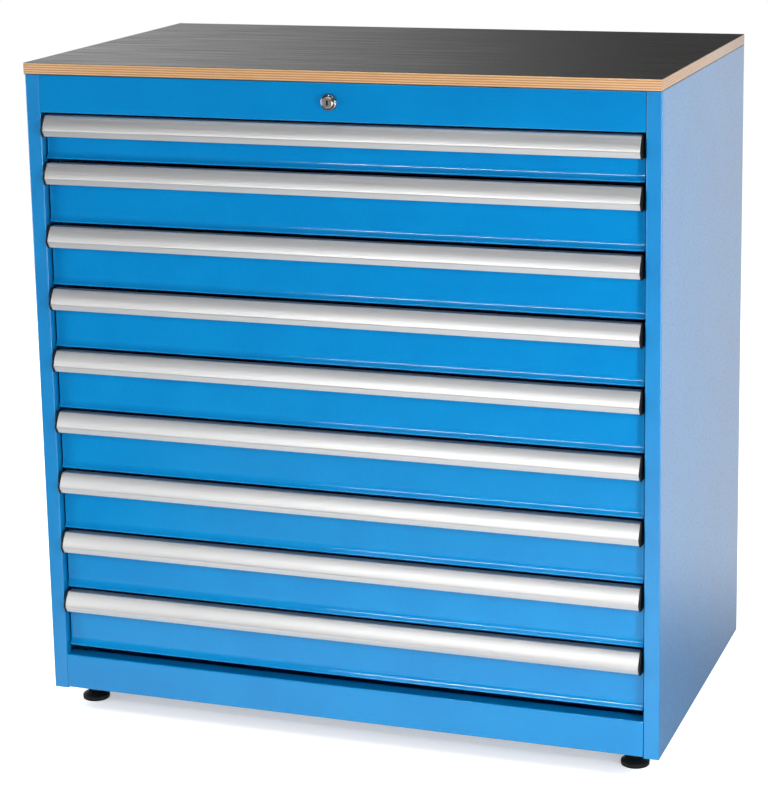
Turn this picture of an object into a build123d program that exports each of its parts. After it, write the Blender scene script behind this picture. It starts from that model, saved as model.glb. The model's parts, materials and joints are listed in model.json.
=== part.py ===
"""Stationary tool cabinet: nine full-extension drawers in a folded steel body on levelling feet.

Millimetres. +Z is up, the drawers open towards -Y, and the origin is on the floor under the middle of the whole
cabinet. Depths are counted from the front face of the stiles towards the back.
"""

import os
from math import cos, radians, sin

from build123d import *

# Body of folded sheet
BODY_WIDTH = 1006.0
BODY_DEPTH = 578.0
SHEET = 1.2
FOLD_RADIUS = 0.8
STILE_WIDTH = 24.0
STILE_RETURN = 15.0
TOP_RAIL_HEIGHT = 59.0
PLINTH_HEIGHT = 58.0
PLINTH_LIFT = 1.5
RAIL_RETURN = 25.0
SEAM = 0.3

# Posts that carry the slides
POST_WIDTH = 40.0
POST_SHEET = 1.5
POST_SETBACK = 0.5
POST_INSET = 30.0

# Worktop board
WORKTOP_THICKNESS = 18.0
WORKTOP_FRONT = 4.0
WORKTOP_BACK = 2.0

# Drawer fronts, from the top one down
DRAWER_PITCHES = [75.0, 100.0, 100.0, 100.0, 100.0, 100.0, 100.0, 100.0, 100.0]
FRONT_GAP = 8.0
TOP_GAP = 6.5
BOTTOM_GAP = 13.5
FRONT_RECESS = 13.0
FRONT_SIDE_GAP = 3.5
FRONT_SHEET = 1.2
FRONT_DEPTH = 14.0
FRONT_UPSTAND = 14.0
LIP_HEIGHT = 8.5
LIP_FORWARD = 6.0
LIP_CURVE = 12.0
HEM_ROUND = 0.4

# Drawer trays
TRAY_SHEET = 1.0
TRAY_LIFT = 3.0
TRAY_DROP = 19.0

# Telescopic slides, each of a cabinet rail, a middle rail and a drawer runner
SLIDE_THICKNESS = 12.7
SLIDE_HEIGHT = 45.0
SLIDE_WALL = 1.5
SLIDE_GAP = 0.4
SLIDE_RISE = 32.0
SLIDE_FRONT_INSET = 5.0
SLIDE_BACK_INSET = 4.0

# Handle rail of drawn aluminium, counted forward from the drawer front and down from its top
HANDLE_PROUD = 22.5
HANDLE_HEIGHT = 30.6
HANDLE_WALL = 1.8
HANDLE_HOOK = 4.0
HANDLE_LEDGE = 10.0
HANDLE_FLANGE = 14.0
HANDLE_NOSE_DROP = 20.7
HANDLE_LIP_SETBACK = 6.0
HANDLE_NOSE_ROUND = 3.0
HANDLE_TOP_ROUND = 1.2
CAP_THICKNESS = 3.0
CAP_MARGIN = 1.2
CAP_ROUND = 4.0

# Cylinder lock and the rod to the back
BEZEL_DIAMETER = 26.0
BEZEL_PROUD = 5.0
BEZEL_CHAMFER = 1.5
BARREL_DIAMETER = 22.0
BARREL_LENGTH = 24.0
LOCK_NUT_DIAMETER = 30.0
LOCK_NUT_THICKNESS = 5.0
PLUG_DIAMETER = 17.0
PLUG_PROUD = 9.0
PLUG_CHAMFER = 0.8
KEYHOLE_HEIGHT = 9.5
KEYHOLE_WIDTH = 1.8
KEYHOLE_DEPTH = 7.0
ROD_DIAMETER = 8.0
TURN_GAP = 0.3
HOLE_GAP = 0.2

# Crank and locking bar behind the drawers
CRANK_RADIUS = 9.0
CRANK_REST_ANGLE = 45.0
CRANK_WIDTH = 14.0
CRANK_THICKNESS = 4.0
CRANK_PIN_DIAMETER = 6.0
YOKE_GAP = 0.4
YOKE_FINGER = 5.0
BAR_WIDTH = 25.0
BAR_THICKNESS = 4.0
BAR_OFFSET = 17.0
BAR_FRONT_GAP = 3.0
BAR_BACK_GAP = 16.8
CATCH_DROP = 9.0
CATCH_SHEET = 1.5
CATCH_WIDTH = 20.0
CATCH_REACH = 12.0
CATCH_CLEARANCE = 0.8
TAB_THICKNESS = 3.0
TAB_TRAY_GAP = 4.0
TAB_CLEARANCE = 1.5
GUIDE_HEIGHT = 14.0
GUIDE_CHEEK = 6.0
GUIDE_GAP = 0.3
GUIDE_TAB_GAP = 5.0
BEARING_THICKNESS = 3.0
BEARING_WIDTH = 24.0
BEARING_BACK_GAP = 8.0

# Levelling feet
FOOT_HEIGHT = 32.0
FOOT_INSET_X = 48.5
FOOT_INSET_Y = 50.5
FOOT_PAD_DIAMETER = 44.0
FOOT_PAD_HEIGHT = 7.0
FOOT_DOME_HEIGHT = 6.0
FOOT_DOME_DIAMETER = 26.0
FOOT_PAD_ROUND = 1.0
FOOT_HEX_WIDTH = 19.0
FOOT_STEM_DIAMETER = 12.0
FOOT_STEM_LENGTH = 48.0
FOOT_GAP = 0.3
BOSS_DIAMETER = 24.0
BOSS_HEIGHT = 20.0

# Length by which a cutting shape runs past the face it cuts
OVERCUT = 5.0

# Places worked out from the sizes above
FRONTS_HEIGHT = sum(DRAWER_PITCHES) - FRONT_GAP
BODY_HEIGHT = PLINTH_HEIGHT + BOTTOM_GAP + FRONTS_HEIGHT + TOP_GAP + TOP_RAIL_HEIGHT
HALF_WIDTH = BODY_WIDTH / 2
OPENING_HALF = HALF_WIDTH - STILE_WIDTH
WALL_INSIDE = HALF_WIDTH - SHEET
CAP_NOSE = HANDLE_PROUD + CAP_MARGIN
NOSE_DEPTH = FRONT_RECESS - CAP_NOSE
BACK_DEPTH = BODY_DEPTH + WORKTOP_BACK
FRONT_Y = -(NOSE_DEPTH + BACK_DEPTH) / 2
BASE_Z = FOOT_HEIGHT
TOP_Z = BASE_Z + BODY_HEIGHT
PLATE_Z = BASE_Z + PLINTH_LIFT
PLATE_TOP_Z = PLATE_Z + SHEET
BACK_INSIDE = BODY_DEPTH - SHEET
FRONT_HALF = OPENING_HALF - FRONT_SIDE_GAP
POST_FACE = OPENING_HALF + POST_SETBACK
TRAY_HALF = POST_FACE - SLIDE_THICKNESS
TRAY_FRONT = FRONT_RECESS + FRONT_DEPTH
LOCK_SPACE = CATCH_REACH + BAR_FRONT_GAP + BAR_THICKNESS + BAR_BACK_GAP
TRAY_BACK = BACK_INSIDE - LOCK_SPACE
SLIDE_FRONT = TRAY_FRONT + SLIDE_FRONT_INSET
SLIDE_BACK = TRAY_BACK - SLIDE_BACK_INSET
LOCK_Z = TOP_Z - TOP_RAIL_HEIGHT / 2
CRANK_DROP = CRANK_RADIUS * sin(radians(CRANK_REST_ANGLE))
CRANK_SIDE = CRANK_RADIUS * cos(radians(CRANK_REST_ANGLE))
BAR_TRAVEL = 2 * CRANK_DROP
BAR_TAIL = BAR_TRAVEL + GUIDE_HEIGHT + GUIDE_TAB_GAP
BAR_BACK = BACK_INSIDE - BAR_BACK_GAP
CATCH_LIP = BAR_TRAVEL - TAB_CLEARANCE + CATCH_CLEARANCE
BAR_FRONT = BAR_BACK - BAR_THICKNESS
BAR_RIGHT = -BAR_OFFSET
BAR_LEFT = BAR_RIGHT - BAR_WIDTH
BAR_MIDDLE = (BAR_LEFT + BAR_RIGHT) / 2


def block(x_span, depth_span, z_span):
    """Box between two X values, two depths and two heights."""
    size = [high - low for low, high in (x_span, depth_span, z_span)]
    middle = [(low + high) / 2 for low, high in (x_span, depth_span, z_span)]
    return Pos(middle[0], FRONT_Y + middle[1], middle[2]) * Box(*size)


def rod(x, z, diameter, depth_span):
    """Round bar that runs from front to back."""
    length = depth_span[1] - depth_span[0]
    middle = FRONT_Y + sum(depth_span) / 2
    return Pos(x, middle, z) * Rot(90, 0, 0) * Cylinder(diameter / 2, length)


def mirrored(solids):
    """The same solids on the other side of the cabinet."""
    return [mirror(solid, about=Plane.YZ) for solid in solids]


def save(name, solids):
    """Write one node, a group of separate solids, to its file."""
    export_step(Compound(children=[solid.solid() for solid in solids]), f"parts/{name}.step")


def rounded(points, rounds):
    """Closed outline whose listed corners are rounded, given as pairs of corner and radius."""
    face = make_face(Polyline(*points, close=True))
    for corner, radius in rounds:
        face = fillet([v for v in face.vertices() if (Vector(v) - Vector(corner)).length < 0.01], radius)
    return face


def inset(points, wall):
    """Points of the line that runs beside an open outer line, on its left, one wall away."""
    turns = [(Vector(b) - Vector(a)).normalized() for a, b in zip(points, points[1:])]
    lefts = [Vector(-turn.Y, turn.X) for turn in turns]
    before = [lefts[0]] + lefts
    after = lefts + [lefts[-1]]
    inner = []
    for point, left_a, left_b in zip(points, before, after):
        inside = Vector(point) + (left_a + left_b) * (wall / (1 + left_a.dot(left_b)))
        inner.append((inside.X, inside.Y))
    return inner


def folded(points, sheet):
    """Section of a sheet folded along its outer line, with the sheet on the left of that line."""
    inner = inset(points, sheet)
    rounds = [(corner, FOLD_RADIUS + sheet) for corner in points[1:-1]]
    rounds += [(corner, FOLD_RADIUS) for corner in inner[1:-1]]
    return rounded(points + inner[::-1], rounds)


def across(section, half_length, x=0.0):
    """Solid of a section drawn as depth and height, run along X to both sides of x."""
    return Pos(x, FRONT_Y, 0) * extrude(Plane.YZ * section, amount=half_length, both=True)


def front_bottom(index):
    """Height of the lower edge of one drawer front, counted from the top drawer."""
    return BASE_Z + PLINTH_HEIGHT + BOTTOM_GAP + sum(DRAWER_PITCHES[index + 1:])


def front_height(index):
    """Height of one drawer front."""
    return DRAWER_PITCHES[index] - FRONT_GAP


def tray_top(index):
    """Height of the top edge of one tray's side and back walls."""
    return front_bottom(index) + DRAWER_PITCHES[index] - TRAY_DROP


def catch_height(index):
    """Height of the underside of the catch behind one tray."""
    return tray_top(index) - CATCH_DROP


def side_panel():
    """Right side: wall with stile and return, flanges at top and bottom, and two posts for the slides."""
    line = [
        (OPENING_HALF, STILE_RETURN),
        (OPENING_HALF, 0.0),
        (HALF_WIDTH, 0.0),
        (HALF_WIDTH, BODY_DEPTH),
    ]
    wall = Pos(0, FRONT_Y, BASE_Z) * extrude(folded(line, SHEET), amount=BODY_HEIGHT)
    flange_x = (OPENING_HALF, WALL_INSIDE)
    flange_depth = (STILE_RETURN + SEAM, BACK_INSIDE)
    solids = [wall]
    solids.append(block(flange_x, flange_depth, (TOP_Z - SHEET, TOP_Z)))
    solids.append(block(flange_x, flange_depth, (PLATE_Z, PLATE_TOP_Z)))
    for depth in (SLIDE_FRONT + POST_INSET, SLIDE_BACK - POST_INSET - POST_WIDTH):
        web = block((POST_FACE, POST_FACE + POST_SHEET), (depth, depth + POST_WIDTH), (PLATE_TOP_Z, TOP_Z - SHEET))
        for edge in (depth, depth + POST_WIDTH - POST_SHEET):
            web += block((POST_FACE, WALL_INSIDE), (edge, edge + POST_SHEET), (PLATE_TOP_Z, TOP_Z - SHEET))
        solids.append(web)
    return solids


def top_pan():
    """Top rail folded back into the sheet under the worktop, with the rear bearing of the lock rod."""
    rail_bottom = TOP_Z - TOP_RAIL_HEIGHT
    line = [(BACK_INSIDE, TOP_Z), (0.0, TOP_Z), (0.0, rail_bottom), (RAIL_RETURN, rail_bottom)]
    pan = across(folded(line, SHEET), OPENING_HALF - SEAM)
    pan -= rod(0, LOCK_Z, BARREL_DIAMETER + 2 * HOLE_GAP, (-OVERCUT, SHEET + OVERCUT))
    bearing_back = TRAY_BACK - BEARING_BACK_GAP
    bearing_depth = (bearing_back - BEARING_THICKNESS, bearing_back)
    bearing_x = (-BEARING_WIDTH / 2, BEARING_WIDTH / 2)
    bearing = block(bearing_x, bearing_depth, (LOCK_Z - BEARING_WIDTH / 2, TOP_Z - SHEET))
    bore_depth = (bearing_depth[0] - OVERCUT, bearing_depth[1] + OVERCUT)
    bearing -= rod(0, LOCK_Z, ROD_DIAMETER + 2 * TURN_GAP, bore_depth)
    return [pan, bearing]


def foot_places():
    """Names of the four feet with their places across and in depth."""
    for side, x in (("left", -(HALF_WIDTH - FOOT_INSET_X)), ("right", HALF_WIDTH - FOOT_INSET_X)):
        for end, depth in (("front", FOOT_INSET_Y), ("back", BODY_DEPTH - FOOT_INSET_Y)):
            yield f"{end}_{side}_foot", x, depth


def base_pan():
    """Plinth folded back into the bottom sheet, with a threaded boss over each foot."""
    plinth_top = BASE_Z + PLINTH_HEIGHT
    line = [(RAIL_RETURN, plinth_top), (0.0, plinth_top), (0.0, PLATE_Z), (BACK_INSIDE, PLATE_Z)]
    pan = across(folded(line, SHEET), OPENING_HALF - SEAM)
    hole_radius = FOOT_STEM_DIAMETER / 2 + FOOT_GAP
    bosses = []
    for name, x, depth in foot_places():
        pan -= Pos(x, FRONT_Y + depth, PLATE_Z) * Cylinder(hole_radius, 2 * OVERCUT)
        boss = Cylinder(BOSS_DIAMETER / 2, BOSS_HEIGHT) - Cylinder(hole_radius, BOSS_HEIGHT + OVERCUT)
        bosses.append(Pos(x, FRONT_Y + depth, PLATE_TOP_Z + BOSS_HEIGHT / 2) * boss)
    return [pan] + bosses


def foot(x, depth):
    """Foot with a round pad, a hexagon to turn it by and a stem in the boss above."""
    hex_bottom = FOOT_PAD_HEIGHT + FOOT_DOME_HEIGHT
    hex_top = PLATE_Z - FOOT_GAP
    pad = Pos(0, 0, FOOT_PAD_HEIGHT / 2) * Cylinder(FOOT_PAD_DIAMETER / 2, FOOT_PAD_HEIGHT)
    pad = fillet(pad.edges().filter_by(GeomType.CIRCLE), FOOT_PAD_ROUND)
    crown_radius = FOOT_PAD_DIAMETER / 2 - 2 * FOOT_PAD_ROUND
    crown = Cone(crown_radius, FOOT_DOME_DIAMETER / 2, FOOT_DOME_HEIGHT)
    pad += Pos(0, 0, FOOT_PAD_HEIGHT + FOOT_DOME_HEIGHT / 2) * crown
    pad += Pos(0, 0, hex_bottom) * extrude(
        RegularPolygon(FOOT_HEX_WIDTH / 2, 6, major_radius=False), amount=hex_top - hex_bottom
    )
    pad += Pos(0, 0, hex_top + FOOT_STEM_LENGTH / 2) * Cylinder(FOOT_STEM_DIAMETER / 2, FOOT_STEM_LENGTH)
    return Pos(x, FRONT_Y + depth, 0) * pad


def drawer_box(index):
    """Drawer front with its flared lip, the tray welded to its upstand, and the catch at the back."""
    bottom = front_bottom(index)
    height = front_height(index)
    face = FRONT_RECESS
    inside = face + FRONT_SHEET
    line = [
        (face, height),
        (face, LIP_HEIGHT),
        (face - LIP_FORWARD, 0.0),
        (TRAY_FRONT, 0.0),
        (TRAY_FRONT, FRONT_UPSTAND),
    ]
    inner = inset(line, FRONT_SHEET)
    rounds = [(line[1], LIP_CURVE), (inner[1], LIP_CURVE + FRONT_SHEET)]
    rounds += [(line[2], HEM_ROUND + FRONT_SHEET), (inner[2], HEM_ROUND)]
    section = rounded(line + inner[::-1], rounds)
    solids = [Pos(0, 0, bottom) * across(section, FRONT_HALF)]
    end_depth = (inside, TRAY_FRONT - FRONT_SHEET)
    end_z = (bottom + FRONT_SHEET, tray_top(index))
    ends = [block((FRONT_HALF - FRONT_SHEET, FRONT_HALF), end_depth, end_z)]
    solids += ends + mirrored(ends)

    floor = bottom + TRAY_LIFT
    wall_bottom = floor + TRAY_SHEET
    wall_top = tray_top(index)
    tray_depth = (TRAY_FRONT, TRAY_BACK)
    inner_half = TRAY_HALF - TRAY_SHEET
    walls = [block((inner_half, TRAY_HALF), tray_depth, (wall_bottom, wall_top))]
    solids += walls + mirrored(walls)
    solids.append(block((-TRAY_HALF, TRAY_HALF), tray_depth, (floor, wall_bottom)))
    front_wall = (TRAY_FRONT, TRAY_FRONT + TRAY_SHEET)
    solids.append(block((-inner_half, inner_half), front_wall, (wall_bottom, wall_top)))
    back_wall = (TRAY_BACK - TRAY_SHEET, TRAY_BACK)
    solids.append(block((-inner_half, inner_half), back_wall, (wall_bottom, wall_top)))

    catch_x = (BAR_MIDDLE - CATCH_WIDTH / 2, BAR_MIDDLE + CATCH_WIDTH / 2)
    catch_z = catch_height(index)
    catch_end = TRAY_BACK + CATCH_REACH
    solids.append(block(catch_x, (TRAY_BACK, catch_end), (catch_z, catch_z + CATCH_SHEET)))
    solids.append(block(catch_x, (catch_end - CATCH_SHEET, catch_end), (catch_z - CATCH_LIP, catch_z)))
    return solids


def handle_point(forward, down, index):
    """Point of a handle section as depth and height, from its distance forward of the front and below its top."""
    return (FRONT_RECESS - forward, front_bottom(index) + front_height(index) - down)


def handle(index):
    """Handle rail hooked over the drawer front: ledge, sloping face, round nose and a lip to grip behind."""
    top = handle_point(HANDLE_LEDGE, -HANDLE_WALL, index)
    nose = handle_point(HANDLE_PROUD, HANDLE_NOSE_DROP, index)
    line = [
        handle_point(-HANDLE_HOOK, -HANDLE_WALL, index),
        top,
        nose,
        handle_point(HANDLE_PROUD - HANDLE_LIP_SETBACK, HANDLE_HEIGHT, index),
    ]
    inner = inset(line, HANDLE_WALL)
    flange = [
        handle_point(HANDLE_WALL, 0, index),
        handle_point(HANDLE_WALL, HANDLE_FLANGE, index),
        handle_point(0, HANDLE_FLANGE, index),
        handle_point(0, 0, index),
    ]
    rounds = [(top, HANDLE_TOP_ROUND), (nose, HANDLE_NOSE_ROUND), (inner[2], HANDLE_NOSE_ROUND - HANDLE_WALL)]
    section = rounded(line + inner[:0:-1] + flange + inner[:1], rounds)
    return [across(section, FRONT_HALF - CAP_THICKNESS)]


def end_caps(index):
    """Plates that close the two ends of a handle rail down to its lip."""
    cap_top = -HANDLE_WALL - CAP_MARGIN
    cap_bottom = HANDLE_HEIGHT + CAP_MARGIN
    nose = handle_point(CAP_NOSE, HANDLE_NOSE_DROP, index)
    lip = handle_point(CAP_NOSE - HANDLE_LIP_SETBACK, cap_bottom, index)
    top = handle_point(HANDLE_LEDGE + CAP_MARGIN, cap_top, index)
    points = [handle_point(0, cap_top, index), top, nose, lip, handle_point(0, cap_bottom, index)]
    section = rounded(points, [(top, CAP_ROUND / 2), (nose, CAP_ROUND), (lip, CAP_ROUND / 2)])
    caps = [across(section, CAP_THICKNESS / 2, FRONT_HALF - CAP_THICKNESS / 2)]
    return caps + mirrored(caps)


def slide_channel(web, tip, half_height, index):
    """Right-hand slide member: a channel whose web and flange tips are two distances from the post."""
    middle = front_bottom(index) + SLIDE_RISE
    toward = 1 if tip > web else -1
    web_end = web + toward * SLIDE_WALL
    depth = (SLIDE_FRONT, SLIDE_BACK)

    def span(from_post_a, from_post_b):
        return tuple(sorted((POST_FACE - from_post_a, POST_FACE - from_post_b)))

    channel = block(span(web, web_end), depth, (middle - half_height, middle + half_height))
    for edge in (middle - half_height, middle + half_height - SLIDE_WALL):
        channel += block(span(web, tip), depth, (edge, edge + SLIDE_WALL))
    return channel


def cabinet_rail(index):
    """Outer member of a slide, on the posts."""
    tip = SLIDE_THICKNESS - SLIDE_GAP - SLIDE_WALL / 2
    return slide_channel(0.0, tip, SLIDE_HEIGHT / 2, index)


def middle_rail(index):
    """Middle member of a slide, inside the cabinet rail."""
    tip = SLIDE_THICKNESS - SLIDE_WALL - SLIDE_GAP
    return slide_channel(2 * SLIDE_WALL, tip, SLIDE_HEIGHT / 2 - SLIDE_WALL - SLIDE_GAP, index)


def drawer_runner(index):
    """Inner member of a slide, on the side of the tray."""
    tip = 3 * SLIDE_WALL + 2 * SLIDE_GAP
    half_height = SLIDE_HEIGHT / 2 - 2 * (SLIDE_WALL + SLIDE_GAP)
    return slide_channel(SLIDE_THICKNESS, tip, half_height, index)


def lock_housing():
    """Bezel and barrel of the cylinder lock, and the nut that holds it behind the rail."""
    housing = rod(0, LOCK_Z, BEZEL_DIAMETER, (-BEZEL_PROUD, 0))
    rim = housing.edges().filter_by(GeomType.CIRCLE).sort_by(Axis.Y)[0]
    housing = chamfer(rim, BEZEL_CHAMFER)
    housing += rod(0, LOCK_Z, BARREL_DIAMETER, (0, BARREL_LENGTH))
    bore_depth = (-BEZEL_PROUD - OVERCUT, BARREL_LENGTH + OVERCUT)
    housing -= rod(0, LOCK_Z, PLUG_DIAMETER + 2 * TURN_GAP, bore_depth)
    nut_depth = (SHEET, SHEET + LOCK_NUT_THICKNESS)
    nut = rod(0, LOCK_Z, LOCK_NUT_DIAMETER, nut_depth)
    nut -= rod(0, LOCK_Z, BARREL_DIAMETER + 2 * HOLE_GAP, (0, nut_depth[1] + OVERCUT))
    return [housing, nut]


def lock_plug():
    """Turning plug with an upright keyhole."""
    plug = rod(0, LOCK_Z, PLUG_DIAMETER, (-PLUG_PROUD, BARREL_LENGTH))
    rim = plug.edges().filter_by(GeomType.CIRCLE).sort_by(Axis.Y)[0]
    plug = chamfer(rim, PLUG_CHAMFER)
    key_x = (-KEYHOLE_WIDTH / 2, KEYHOLE_WIDTH / 2)
    key_z = (LOCK_Z - KEYHOLE_HEIGHT / 2, LOCK_Z + KEYHOLE_HEIGHT / 2)
    return [plug - block(key_x, (-PLUG_PROUD - OVERCUT, KEYHOLE_DEPTH - PLUG_PROUD), key_z)]


def lock_shaft():
    """Rod from the plug to the back, and its crank with a pin in the yoke of the locking bar."""
    crank_back = BAR_FRONT - 2 * YOKE_GAP
    crank_front = crank_back - CRANK_THICKNESS
    shaft = rod(0, LOCK_Z, ROD_DIAMETER, (BARREL_LENGTH, crank_front))
    arm = Box(CRANK_RADIUS, CRANK_THICKNESS, CRANK_WIDTH)
    arm = Pos(-CRANK_RADIUS / 2, 0, 0) * arm
    for x in (0.0, -CRANK_RADIUS):
        arm += Pos(x, 0, 0) * Rot(90, 0, 0) * Cylinder(CRANK_WIDTH / 2, CRANK_THICKNESS)
    place = Pos(0, FRONT_Y + (crank_front + crank_back) / 2, LOCK_Z)
    shaft += place * Rot(0, -CRANK_REST_ANGLE, 0) * arm
    shaft += rod(-CRANK_SIDE, LOCK_Z - CRANK_DROP, CRANK_PIN_DIAMETER, (crank_back, BAR_BACK))
    return [shaft]


def bar_ends():
    """Heights of the two ends of the locking bar."""
    last = len(DRAWER_PITCHES) - 1
    top = LOCK_Z - CRANK_DROP + CRANK_PIN_DIAMETER / 2 + YOKE_GAP + YOKE_FINGER
    return tab_bottom(last) - BAR_TAIL, top


def tab_bottom(index):
    """Height of the underside of the locking tab of one drawer."""
    plate_top = catch_height(index) - CATCH_LIP - TAB_CLEARANCE / 2 - BAR_TRAVEL
    return plate_top - TAB_THICKNESS


def locking_bar():
    """Upright bar with a yoke for the crank pin and a hooked tab under the catch of each drawer."""
    low, top = bar_ends()
    solids = [block((BAR_LEFT, BAR_RIGHT), (BAR_FRONT, BAR_BACK), (low, top))]
    pin_z = LOCK_Z - CRANK_DROP
    reach = CRANK_PIN_DIAMETER / 2 + YOKE_GAP
    finger_x = (BAR_RIGHT, CRANK_PIN_DIAMETER / 2 - CRANK_SIDE)
    for edge in (pin_z + reach, pin_z - reach - YOKE_FINGER):
        solids.append(block(finger_x, (BAR_FRONT, BAR_BACK), (edge, edge + YOKE_FINGER)))
    tab_x = (BAR_MIDDLE - CATCH_WIDTH / 2, BAR_MIDDLE + CATCH_WIDTH / 2)
    tip_front = TRAY_BACK + TAB_TRAY_GAP
    for index in range(len(DRAWER_PITCHES)):
        bottom = tab_bottom(index)
        plate_top = bottom + TAB_THICKNESS
        tip_top = catch_height(index) - CATCH_LIP - TAB_CLEARANCE
        solids.append(block(tab_x, (tip_front, BAR_FRONT), (bottom, plate_top)))
        solids.append(block(tab_x, (tip_front, tip_front + TAB_THICKNESS), (plate_top, tip_top)))
    return solids


def bar_guides():
    """Two guides on the back panel, each of a pad, two cheeks and a strap around the locking bar."""
    low, top = bar_ends()
    finger_bottom = top - 2 * (YOKE_FINGER + YOKE_GAP) - CRANK_PIN_DIAMETER
    outer = (BAR_LEFT - GUIDE_GAP - GUIDE_CHEEK, BAR_RIGHT + GUIDE_GAP + GUIDE_CHEEK)
    pad_front = BAR_BACK + GUIDE_GAP
    strap_back = BAR_FRONT - GUIDE_GAP
    solids = []
    for bottom in (low + BAR_TRAVEL, finger_bottom - 2 * GUIDE_HEIGHT):
        z_span = (bottom, bottom + GUIDE_HEIGHT)
        solids.append(block(outer, (pad_front, BACK_INSIDE), z_span))
        for x_span in ((outer[0], BAR_LEFT - GUIDE_GAP), (BAR_RIGHT + GUIDE_GAP, outer[1])):
            solids.append(block(x_span, (strap_back, pad_front), z_span))
        solids.append(block(outer, (strap_back - SHEET, strap_back), z_span))
    return solids


def main():
    os.makedirs("parts", exist_ok=True)
    right = side_panel()
    save("right_side_panel", right)
    save("left_side_panel", mirrored(right))
    save("top_pan", top_pan())
    save("base_pan", base_pan())
    back = block((-WALL_INSIDE, WALL_INSIDE), (BACK_INSIDE, BODY_DEPTH), (BASE_Z, TOP_Z))
    save("back_panel", [back] + bar_guides())
    board_depth = (-WORKTOP_FRONT, BODY_DEPTH + WORKTOP_BACK)
    save("worktop", [block((-HALF_WIDTH, HALF_WIDTH), board_depth, (TOP_Z, TOP_Z + WORKTOP_THICKNESS))])
    for name, x, depth in foot_places():
        save(name, [foot(x, depth)])

    save("lock_housing", lock_housing())
    save("lock_plug", lock_plug())
    save("lock_shaft", lock_shaft())
    save("locking_bar", locking_bar())

    rails = []
    for index in range(len(DRAWER_PITCHES)):
        number = index + 1
        save(f"drawer_{number}_box", drawer_box(index))
        save(f"drawer_{number}_handle", handle(index))
        save(f"drawer_{number}_end_caps", end_caps(index))
        for name, member in (("runners", drawer_runner(index)), ("middle_rails", middle_rail(index))):
            save(f"drawer_{number}_{name}", [member] + mirrored([member]))
        rail = cabinet_rail(index)
        rails += [rail] + mirrored([rail])
    save("cabinet_rails", rails)


main()
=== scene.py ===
"""Looks of a stationary workshop cabinet with nine drawers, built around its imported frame.

Metres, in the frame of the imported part: +Z is up, the drawers open towards -Y, and the origin is on the
floor under the middle of the cabinet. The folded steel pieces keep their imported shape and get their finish
here. The worktop, the handle rails with their end caps, the lock and the feet are modelled anew in the places
that the frame gives.
"""

import json
import logging
import math
from collections.abc import Sequence
from dataclasses import dataclass
from enum import Enum

import bmesh
import bpy
from mathutils import Matrix, Vector

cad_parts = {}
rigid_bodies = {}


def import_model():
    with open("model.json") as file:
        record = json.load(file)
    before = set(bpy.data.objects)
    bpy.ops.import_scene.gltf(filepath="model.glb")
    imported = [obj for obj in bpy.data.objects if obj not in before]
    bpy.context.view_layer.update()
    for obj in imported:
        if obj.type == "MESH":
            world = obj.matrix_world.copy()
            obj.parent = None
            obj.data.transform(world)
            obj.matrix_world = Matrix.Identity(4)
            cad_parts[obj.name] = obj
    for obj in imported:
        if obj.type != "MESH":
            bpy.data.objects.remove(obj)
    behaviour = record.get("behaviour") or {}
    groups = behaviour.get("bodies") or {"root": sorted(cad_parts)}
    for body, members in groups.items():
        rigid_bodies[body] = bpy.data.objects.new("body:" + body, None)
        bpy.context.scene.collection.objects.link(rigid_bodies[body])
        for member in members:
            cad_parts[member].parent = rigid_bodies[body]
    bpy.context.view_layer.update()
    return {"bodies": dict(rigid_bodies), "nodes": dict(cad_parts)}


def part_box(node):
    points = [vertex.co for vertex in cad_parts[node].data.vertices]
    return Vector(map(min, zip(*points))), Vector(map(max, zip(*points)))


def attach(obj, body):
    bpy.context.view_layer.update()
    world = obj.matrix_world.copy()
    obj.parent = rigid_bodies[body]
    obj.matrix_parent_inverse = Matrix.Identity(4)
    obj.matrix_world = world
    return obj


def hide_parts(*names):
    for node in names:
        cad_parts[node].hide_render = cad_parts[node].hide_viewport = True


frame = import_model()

log = logging.getLogger("drawer_cabinet")

MM = 0.001
SHARP_ANGLE = math.radians(32)
HEXAGON_STEP = math.pi / 3
TINY = 1e-7
NOISE_SPAN = (0.3, 0.7)
SIDES = (-1.0, 1.0)

Colour = tuple[float, float, float]
Place = tuple[float, float, float]
Corner = tuple[float, float, float]
Span = tuple[float, float]
Material = bpy.types.Material
Piece = bpy.types.Object
Ring = Sequence[bmesh.types.BMVert]
Shape = bmesh.types.BMesh
Socket = bpy.types.NodeSocket


class Slot(Enum):
    """Material slots of the record."""

    COAT = "blue_powder_coat"
    HANDLE = "handle_aluminium"
    CAP = "cap_plastic"
    BOARD = "worktop_plywood"
    CHROME = "lock_chrome"
    ZINC = "zinc_steel"
    FOOT = "foot_plastic"


class Detail(Enum):
    """Number of finer layers in a noise."""

    PLAIN = 2.0
    RICH = 3.0
    FINE = 4.0


class Run(Enum):
    """Direction that a section is run along, or an axis that a profile is turned about."""

    ACROSS = 0
    DEEP = 1
    UP = 2

    def point(self, along: float, first: float, second: float) -> Vector:
        """Point at a distance along the run.

        Args:
            along: Distance along the run.
            first: First of the two coordinates across the run, in the order X, Y, Z.
            second: Second of the two coordinates across the run.

        Returns:
            The point.
        """
        values = [first, second]
        values.insert(self.value, along)
        return Vector(values)

    def polar(self, along: float, radius: float, angle: float) -> Vector:
        """Point at a distance along the run, a radius away from it and an angle about it."""
        return self.point(along, radius * math.cos(angle), radius * math.sin(angle))


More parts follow.
